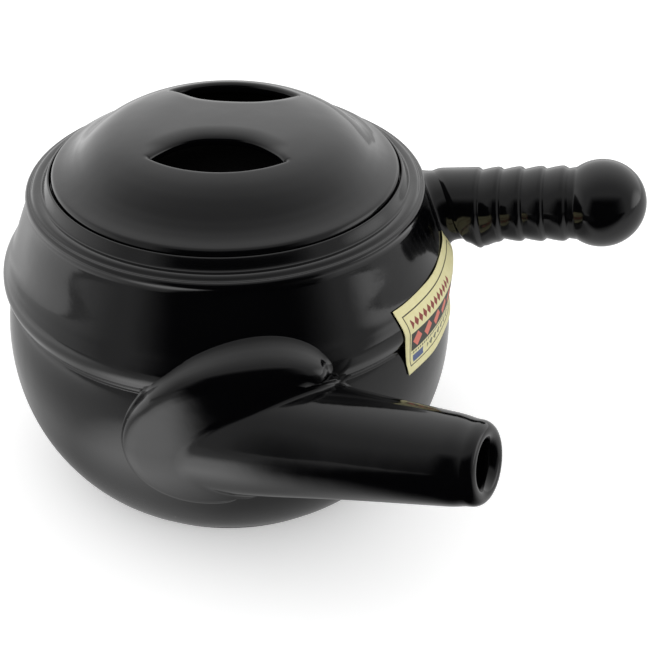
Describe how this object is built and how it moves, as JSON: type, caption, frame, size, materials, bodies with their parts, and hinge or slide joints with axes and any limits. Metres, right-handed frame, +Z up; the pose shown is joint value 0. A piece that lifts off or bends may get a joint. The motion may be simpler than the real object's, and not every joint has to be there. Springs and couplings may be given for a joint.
{
  "type": "side-handled teapot",
  "caption": "Round black-glazed earthenware teapot with a leaning spout, a ribbed side handle ending in a ball and a loose domed lid gripped through two openings.",
  "frame": {"origin": "centre of the flat underside of the foot, on the pot's turning axis", "axes": "+Z up along the turning axis, +X to the side where both the spout and the handle lean, -Y the side the spout is luted to"},
  "size_m": [0.286, 0.2478, 0.1672],
  "materials": {
    "black_glaze": "glossy black glaze",
    "bare_clay": "matt fired clay",
    "cream_paper": "matt printed paper"
  },
  "bodies": {
    "pot": {"lower_bowl": "black_glaze", "shoulder_shell": "black_glaze", "spout_collar": "black_glaze", "spout": "black_glaze", "strainer": "bare_clay", "handle_neck": "black_glaze", "handle": "black_glaze", "paper_label": "cream_paper"},
    "lid": {"lid": "black_glaze", "lid_ring": "black_glaze", "lid_well": "black_glaze"}
  },
  "joints": [
    {"name": "lid_lift", "type": "slide", "parent": "pot", "child": "lid", "axis": [0, 0, 1], "range_m": [0, 0.06]}
  ]
}
